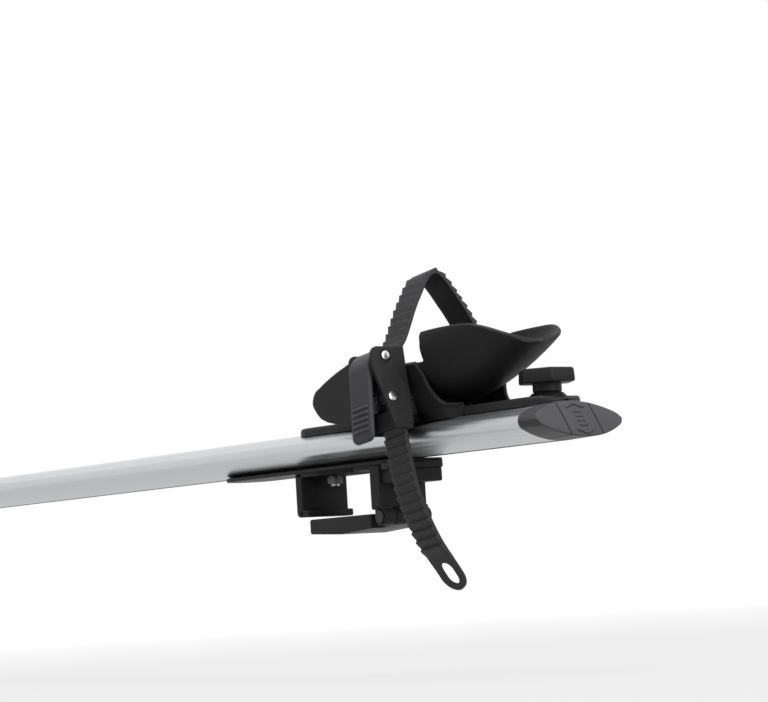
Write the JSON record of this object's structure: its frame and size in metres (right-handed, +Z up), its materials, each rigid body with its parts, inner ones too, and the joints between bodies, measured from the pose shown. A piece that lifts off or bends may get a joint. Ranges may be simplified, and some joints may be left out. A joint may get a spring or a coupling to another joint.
{
  "type": "roof mounted bike carrier",
  "caption": "Roof bike carrier: oval aluminium rail on bar clamps, with a strapped wheel tray at each end and a folding arm whose claw grips the down tube.",
  "frame": {"origin": "middle of the rear clamp's pad, on the face that rests on the rear roof bar", "axes": "+X along the rail to its rear end, +Y away from the buckle side, +Z up"},
  "size_m": [1.3484, 0.1316, 0.6094],
  "materials": {
    "anodised": "satin anodised",
    "moulded": "fine texture",
    "dark_moulded": "satin",
    "strap": "satin",
    "rubber": "matt",
    "zinc_steel": "zinc plated"
  },
  "bodies": {
    "carrier": {"rail": "anodised", "rear_cap": "moulded", "front_cap": "moulded", "arm_base": "moulded", "arm_base_bolts": "zinc_steel", "arm_base_nuts": "zinc_steel", "arm_pivot_bolt": "zinc_steel", "rear_clamp_plate": "dark_moulded", "rear_clamp_pad": "rubber", "rear_clamp_post": "moulded", "rear_clamp_hook": "moulded", "rear_clamp_pin": "zinc_steel", "rear_clamp_bolts": "zinc_steel", "rear_clamp_nuts": "zinc_steel", "front_clamp_plate": "dark_moulded", "front_clamp_pad": "rubber", "front_clamp_post": "moulded", "front_clamp_hook": "moulded", "front_clamp_pin": "zinc_steel", "front_clamp_bolts": "zinc_steel", "front_clamp_nuts": "zinc_steel"},
    "rear_tray": {"rear_tray": "moulded", "rear_tray_collar": "dark_moulded", "rear_tray_bolt": "zinc_steel", "rear_strap": "strap", "rear_strap_screws": "zinc_steel", "rear_buckle": "moulded", "rear_buckle_screws": "zinc_steel", "rear_lever_pin": "zinc_steel", "rear_pawl_pin": "zinc_steel", "rear_pawl_spring": "zinc_steel"},
    "rear_tray_knob": {"rear_tray_knob": "dark_moulded"},
    "rear_buckle_lever": {"rear_buckle_lever": "moulded"},
    "rear_pawl": {"rear_pawl": "dark_moulded"},
    "rear_clamp_lever": {"rear_clamp_lever": "dark_moulded"},
    "front_tray": {"front_tray": "moulded", "front_tray_collar": "dark_moulded", "front_tray_bolt": "zinc_steel", "front_strap": "strap", "front_strap_screws": "zinc_steel", "front_buckle": "moulded", "front_buckle_screws": "zinc_steel", "front_lever_pin": "zinc_steel", "front_pawl_pin": "zinc_steel", "front_pawl_spring": "zinc_steel"},
    "front_tray_knob": {"front_tray_knob": "dark_moulded"},
    "front_buckle_lever": {"front_buckle_lever": "moulded"},
    "front_pawl": {"front_pawl": "dark_moulded"},
    "front_clamp_lever": {"front_clamp_lever": "dark_moulded"},
    "arm": {"arm_knuckle": "moulded", "arm_tube": "anodised", "claw_body": "moulded", "claw_fixed_pad": "rubber"},
    "claw_jaw": {"claw_jaw": "moulded", "claw_moving_pad": "rubber"},
    "claw_knob": {"claw_knob": "dark_moulded", "claw_screw": "zinc_steel", "claw_lock": "zinc_steel"}
  },
  "joints": [
    {"name": "rear_tray_slide", "type": "slide", "parent": "carrier", "child": "rear_tray", "axis": [1, 0, 0], "range_m": [-0.15, 0]},
    {"name": "rear_knob_turn", "type": "hinge", "parent": "rear_tray", "child": "rear_tray_knob", "pos_m": [0.19, 0, 0.045], "axis": [0, 0, 1], "continuous": true},
    {"name": "rear_lever_lift", "type": "hinge", "parent": "rear_tray", "child": "rear_buckle_lever", "pos_m": [0.08872, -0.05, 0.06255], "axis": [-0.9914, 0, -0.1305], "range_deg": [0, 105]},
    {"name": "rear_pawl_release", "type": "hinge", "parent": "rear_tray", "child": "rear_pawl", "pos_m": [0.09198, -0.0495, 0.03776], "axis": [0.9914, 0, 0.1305], "range_deg": [0, 20], "stiffness_Nm_per_rad": 0.02, "springref_deg": -20.05, "deforming": ["rear_pawl_spring"]},
    {"name": "rear_clamp_lever_open", "type": "hinge", "parent": "carrier", "child": "rear_clamp_lever", "pos_m": [0.045, 0, -0.0296], "axis": [0, -1, 0], "range_deg": [0, 95]},
    {"name": "front_tray_slide", "type": "slide", "parent": "carrier", "child": "front_tray", "axis": [1, 0, 0], "range_m": [0, 0.13]},
    {"name": "front_knob_turn", "type": "hinge", "parent": "front_tray", "child": "front_tray_knob", "pos_m": [-1.09, 0, 0.045], "axis": [0, 0, 1], "continuous": true},
    {"name": "front_lever_lift", "type": "hinge", "parent": "front_tray", "child": "front_buckle_lever", "pos_m": [-0.98872, -0.05, 0.06255], "axis": [-0.9914, 0, 0.1305], "range_deg": [0, 105]},
    {"name": "front_pawl_release", "type": "hinge", "parent": "front_tray", "child": "front_pawl", "pos_m": [-0.99198, -0.0495, 0.03776], "axis": [0.9914, 0, -0.1305], "range_deg": [0, 20], "stiffness_Nm_per_rad": 0.02, "springref_deg": -20.05, "deforming": ["front_pawl_spring"]},
    {"name": "front_clamp_lever_open", "type": "hinge", "parent": "carrier", "child": "front_clamp_lever", "pos_m": [-0.655, 0, -0.0296], "axis": [0, -1, 0], "range_deg": [0, 95]},
    {"name": "arm_tilt", "type": "hinge", "parent": "carrier", "child": "arm", "pos_m": [-0.67, 0, 0.055], "axis": [0, 1, 0], "range_deg": [-15, 62]},
    {"name": "claw_turn", "type": "hinge", "parent": "arm", "child": "claw_knob", "pos_m": [-0.52054, 0, 0.46565], "axis": [0, 1, 0], "range_deg": [0, 1800]},
    {"name": "claw_open", "type": "slide", "parent": "arm", "child": "claw_jaw", "axis": [0, 1, 0], "range_m": [0, 0.025]}
  ],
  "couplings": [
    {"joint": "claw_turn", "follows": "claw_open", "rad_per_m": 1256.6}
  ]
}
